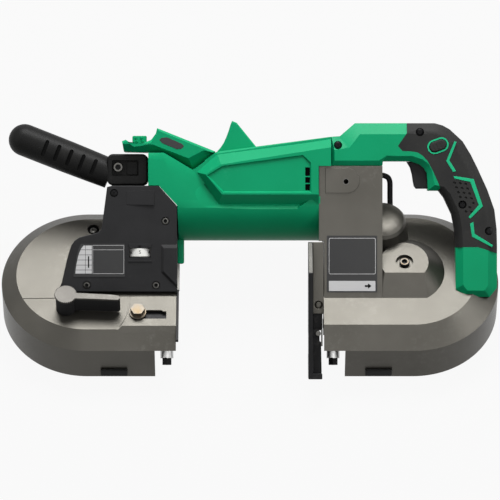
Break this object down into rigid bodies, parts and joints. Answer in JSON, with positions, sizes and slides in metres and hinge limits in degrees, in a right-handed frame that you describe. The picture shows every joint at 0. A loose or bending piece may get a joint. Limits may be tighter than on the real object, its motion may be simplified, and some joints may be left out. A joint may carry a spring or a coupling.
{
  "type": "portable band saw",
  "caption": "Cordless portable band saw with two wheel casings, motor across the top, gear block, looped rear handle, front handle, tension lever, blade guides and stop plate.",
  "frame": {"origin": "centre of the bounding box at the plane of the wheel casings' back rims, on which the saw lies", "axes": "+X along the saw from the idler wheel to the drive wheel, +Z out of the casing faces, +Y across from the cutting run to the return run"},
  "size_m": [0.542, 0.2758, 0.1769],
  "materials": {
    "die_cast": "satin cast metal",
    "wheel_alloy": "machined",
    "green_shell": "satin moulded",
    "black_plastic": "fine texture",
    "soft_grip": "soft touch",
    "tyre": "smooth rubber",
    "white_plastic": "moulded",
    "dark_steel": "black coated",
    "brass": "plain",
    "label": "printed film",
    "steel": "ground"
  },
  "bodies": {
    "frame": {"battery_guard": "green_shell", "battery_mount": "green_shell", "battery_terminals": "brass", "bearing_cover": "die_cast", "bearings": "steel", "bumpers": "soft_grip", "carriage_rails": "die_cast", "control_panel": "black_plastic", "controller_board": "black_plastic", "frame_bridge": "die_cast", "front_handle": "black_plastic", "front_handle_bolt": "dark_steel", "gear_housing": "die_cast", "grip_cover": "soft_grip", "handle_front_shell": "green_shell", "handle_rear_shell": "green_shell", "housing_screws": "dark_steel", "label_plates": "label", "lamp_lead": "black_plastic", "left_casing": "die_cast", "motor_housing_front": "green_shell", "motor_housing_rear": "green_shell", "right_casing": "die_cast", "right_guide_holder": "die_cast", "shaft_screw": "steel", "stator": "steel", "stop_bracket": "die_cast", "stop_plate": "dark_steel", "switch_body": "black_plastic", "tension_spring": "steel", "trigger_spring": "steel"},
    "drive": {"drive_wheel": "wheel_alloy", "drive_tyre": "tyre", "drive_wheel_bolt": "steel", "drive_shaft": "steel", "drive_gear": "steel"},
    "carriage": {"idler_carriage": "die_cast", "idler_wheel_bolt": "steel"},
    "idler": {"idler_wheel": "wheel_alloy", "idler_tyre": "tyre"},
    "second_stage": {"second_shaft": "steel", "intermediate_gear": "steel"},
    "first_stage": {"first_shaft": "steel", "bevel_gear": "steel"},
    "rotor": {"motor_rotor": "steel", "cooling_fan": "black_plastic", "bevel_pinion": "steel"},
    "lever": {"tension_lever": "black_plastic", "tension_cam": "dark_steel"},
    "left_guide": {"left_guide_holder": "die_cast", "guide_bolt": "steel"},
    "trigger": {"trigger": "black_plastic"},
    "lock_button": {"lock_button": "soft_grip"},
    "speed_dial": {"speed_dial": "white_plastic"},
    "left_front_roller": {"left_front_roller": "steel"},
    "left_rear_roller": {"left_rear_roller": "steel"},
    "left_backup_roller": {"left_backup_roller": "steel"},
    "right_front_roller": {"right_front_roller": "steel"},
    "right_rear_roller": {"right_rear_roller": "steel"},
    "right_backup_roller": {"right_backup_roller": "steel"}
  },
  "joints": [
    {"name": "drive_spin", "type": "hinge", "parent": "frame", "child": "drive", "pos_m": [0.168, -0.01135, 0.03], "axis": [0, 0, 1], "continuous": true},
    {"name": "carriage_slide", "type": "slide", "parent": "frame", "child": "carriage", "axis": [1, 0, 0], "range_m": [0, 0.006], "deforming": ["tension_spring"]},
    {"name": "idler_spin", "type": "hinge", "parent": "carriage", "child": "idler", "pos_m": [-0.168, -0.01135, 0.03], "axis": [0, 0, 1], "continuous": true},
    {"name": "second_spin", "type": "hinge", "parent": "frame", "child": "second_stage", "pos_m": [0.14439, 0.03498, 0.06], "axis": [0, 0, 1], "continuous": true},
    {"name": "first_spin", "type": "hinge", "parent": "frame", "child": "first_stage", "pos_m": [0.12296, 0.06265, 0.07], "axis": [0, 0, 1], "continuous": true},
    {"name": "rotor_spin", "type": "hinge", "parent": "frame", "child": "rotor", "pos_m": [0, 0.06265, 0.091], "axis": [1, 0, 0], "continuous": true},
    {"name": "lever_turn", "type": "hinge", "parent": "frame", "child": "lever", "pos_m": [-0.199, -0.06195, 0.06], "axis": [0, 0, 1], "range_deg": [-180, 0]},
    {"name": "guide_slide", "type": "slide", "parent": "frame", "child": "left_guide", "axis": [1, 0, 0], "range_m": [0, 0.024]},
    {"name": "trigger_pull", "type": "slide", "parent": "frame", "child": "trigger", "axis": [1, 0, 0], "range_m": [0, 0.006], "stiffness_N_per_m": 900, "springref_m": -0.004, "deforming": ["trigger_spring"]},
    {"name": "lock_press", "type": "slide", "parent": "frame", "child": "lock_button", "axis": [0, 0.6157, -0.788], "range_m": [0, 0.003], "stiffness_N_per_m": 600, "springref_m": -0.003},
    {"name": "dial_turn", "type": "hinge", "parent": "frame", "child": "speed_dial", "pos_m": [-0.11935, -0.00199, 0.0811], "axis": [0, 0.788, 0.6157], "range_deg": [-200, 50]},
    {"name": "left_front_roller_spin", "type": "hinge", "parent": "left_guide", "child": "left_front_roller", "pos_m": [-0.09, -0.09127, 0.0355], "axis": [0, 0.788, 0.6157], "continuous": true},
    {"name": "left_rear_roller_spin", "type": "hinge", "parent": "left_guide", "child": "left_rear_roller", "pos_m": [-0.09, -0.08268, 0.0245], "axis": [0, 0.788, 0.6157], "continuous": true},
    {"name": "left_backup_roller_spin", "type": "hinge", "parent": "left_guide", "child": "left_backup_roller", "pos_m": [-0.101, -0.07729, 0.03757], "axis": [0, -0.6157, 0.788], "continuous": true},
    {"name": "right_front_roller_spin", "type": "hinge", "parent": "frame", "child": "right_front_roller", "pos_m": [0.09, -0.09127, 0.0355], "axis": [0, 0.788, 0.6157], "continuous": true},
    {"name": "right_rear_roller_spin", "type": "hinge", "parent": "frame", "child": "right_rear_roller", "pos_m": [0.09, -0.08268, 0.0245], "axis": [0, 0.788, 0.6157], "continuous": true},
    {"name": "right_backup_roller_spin", "type": "hinge", "parent": "frame", "child": "right_backup_roller", "pos_m": [0.101, -0.07729, 0.03757], "axis": [0, -0.6157, 0.788], "continuous": true}
  ],
  "couplings": [
    {"joint": "first_spin", "follows": "rotor_spin", "ratio": -0.35714},
    {"joint": "second_spin", "follows": "rotor_spin", "ratio": 0.14286},
    {"joint": "drive_spin", "follows": "rotor_spin", "ratio": -0.042857},
    {"joint": "lever_turn", "follows": "carriage_slide", "rad_per_m": -523.6}
  ]
}
